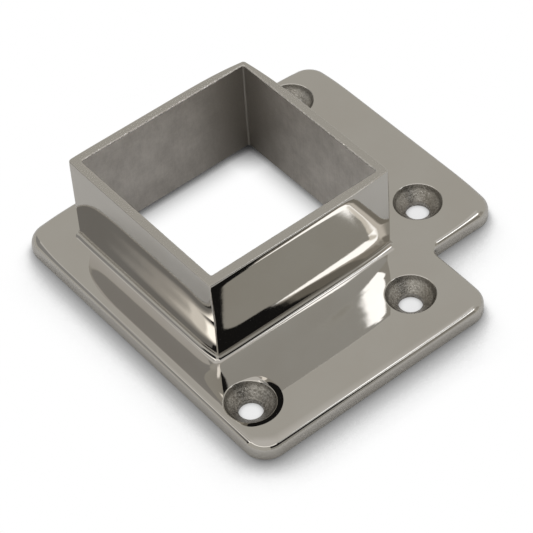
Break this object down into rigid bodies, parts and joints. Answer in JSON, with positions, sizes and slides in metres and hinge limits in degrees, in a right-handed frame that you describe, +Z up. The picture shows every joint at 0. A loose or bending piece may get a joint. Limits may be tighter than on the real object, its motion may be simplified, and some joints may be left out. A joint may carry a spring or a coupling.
{
  "type": "square tube base flange",
  "caption": "Polished cast base flange for a square post: a notched screw plate with countersunk holes and an offset square socket open right through.",
  "frame": {"origin": "the socket's axis on the surface that the plate is screwed to", "axes": "+Z up along the socket; +X and +Y towards the two screwed strips, with the notch between them"},
  "size_m": [0.095, 0.095, 0.0305],
  "materials": {
    "polished_steel": "polished"
  },
  "bodies": {
    "root": {"base_flange": "polished_steel"}
  },
  "joints": []
}
